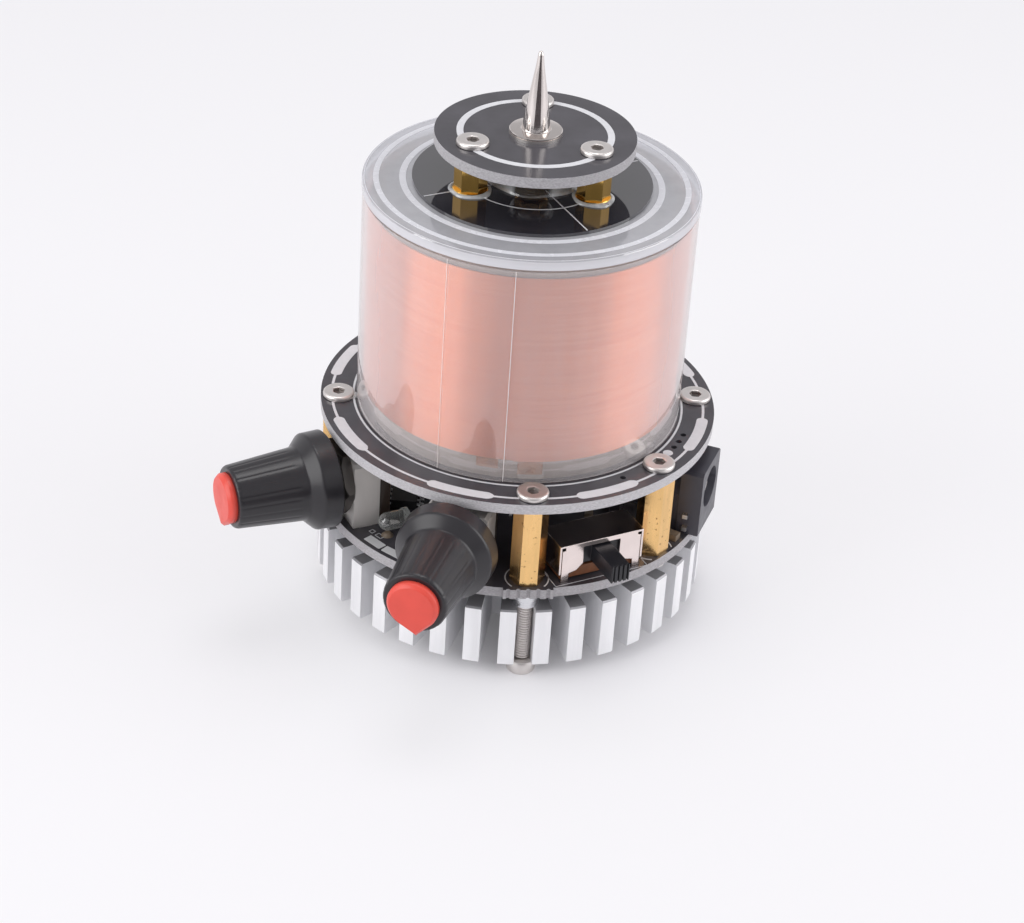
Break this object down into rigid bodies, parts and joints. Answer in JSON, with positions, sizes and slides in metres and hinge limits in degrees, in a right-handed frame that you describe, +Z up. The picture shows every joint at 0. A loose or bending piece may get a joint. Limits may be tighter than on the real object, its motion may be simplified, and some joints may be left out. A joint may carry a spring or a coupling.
{
  "type": "desktop resonant transformer",
  "caption": "Tabletop spark transformer: wound clear tube with a needle terminal on two round boards over a finned heatsink, with two knobs, a slide switch and a power inlet.",
  "frame": {"origin": "centre of the circle through the four foot screws' heads, on the surface that they stand on", "axes": "+Z up along the coil's axis, -Y towards the front, between the front knob and the slide switch"},
  "size_m": [0.0755, 0.0771, 0.0878],
  "materials": {
    "heatsink_aluminium": "satin, sawn fins",
    "screw_steel": "bright",
    "spacer_aluminium": "satin",
    "black_board": "semi-gloss solder mask",
    "pillar_brass": "bright turned",
    "post_brass": "bright turned",
    "chip_epoxy": "matte",
    "thermal_pad": "matte",
    "tinned_metal": "satin",
    "capacitor_sleeve": "semi-gloss sleeve",
    "chip_ceramic": "matte",
    "clear_lamp": "clear",
    "pot_metal": "satin",
    "bush_metal": "bright turned",
    "pot_wafer": "matte",
    "shaft_metal": "turned",
    "knob_plastic": "soft sheen",
    "cap_plastic": "satin",
    "switch_nickel": "satin plated",
    "switch_phenolic": "matte",
    "slider_plastic": "semi-gloss",
    "contact_bronze": "satin",
    "jack_plastic": "semi-gloss",
    "jack_pin_metal": "bright",
    "primary_copper": "enamelled wire",
    "clear_acrylic": "clear",
    "winding_copper": "enamelled fine wire",
    "clear_film": "clear film",
    "lid_acrylic": "frosted clear",
    "gloss_black": "gloss",
    "clear_glue": "translucent",
    "needle_chrome": "polished"
  },
  "bodies": {
    "base": {"heatsink": "heatsink_aluminium", "heatsink_screws": "screw_steel", "board_spacers": "spacer_aluminium", "lower_board": "black_board", "lower_board_screws": "screw_steel", "board_pillars": "pillar_brass", "upper_board": "black_board", "upper_board_screws": "screw_steel", "power_transistors": "chip_epoxy", "thermal_pads": "thermal_pad", "driver_chips": "chip_epoxy", "chip_legs": "tinned_metal", "bulk_capacitors": "capacitor_sleeve", "small_parts": "chip_ceramic", "status_led": "clear_lamp", "left_pot_shell": "pot_metal", "left_pot_wafer": "pot_wafer", "left_pot_terminals": "tinned_metal", "left_pot_bush": "bush_metal", "left_pot_nut": "bush_metal", "front_pot_shell": "pot_metal", "front_pot_wafer": "pot_wafer", "front_pot_terminals": "tinned_metal", "front_pot_bush": "bush_metal", "front_pot_nut": "bush_metal", "switch_frame": "switch_nickel", "switch_base": "switch_phenolic", "switch_terminals": "tinned_metal", "dc_jack_housing": "jack_plastic", "dc_jack_pin": "jack_pin_metal", "dc_jack_terminals": "tinned_metal", "primary_coil": "primary_copper", "coil_former": "clear_acrylic", "secondary_winding": "winding_copper", "outer_film": "clear_film", "top_lid": "lid_acrylic", "inner_disc": "gloss_black", "top_posts": "post_brass", "post_glue": "clear_glue", "discharge_disc": "black_board", "disc_screws": "screw_steel", "needle_washer": "needle_chrome", "needle": "needle_chrome", "needle_nut": "pillar_brass", "lead_nut": "pillar_brass", "nut_glue": "clear_glue"},
    "left_control": {"left_pot_shaft": "shaft_metal", "left_knob": "knob_plastic", "left_knob_cap": "cap_plastic"},
    "front_control": {"front_pot_shaft": "shaft_metal", "front_knob": "knob_plastic", "front_knob_cap": "cap_plastic"},
    "power_slider": {"switch_slider": "slider_plastic", "switch_contacts": "contact_bronze"}
  },
  "joints": [
    {"name": "left_knob_turn", "type": "hinge", "parent": "base", "child": "left_control", "pos_m": [-0.02666, -0.01376, 0.0231], "axis": [-0.8886, -0.4587, 0], "range_deg": [-300, 0]},
    {"name": "front_knob_turn", "type": "hinge", "parent": "base", "child": "front_control", "pos_m": [-0.00807, -0.0289, 0.0231], "axis": [-0.2689, -0.9632, 0], "range_deg": [-300, 0]},
    {"name": "switch_slide", "type": "slide", "parent": "base", "child": "power_slider", "axis": [0.8829, 0.4695, 0], "range_m": [-0.0014, 0.0014]}
  ]
}
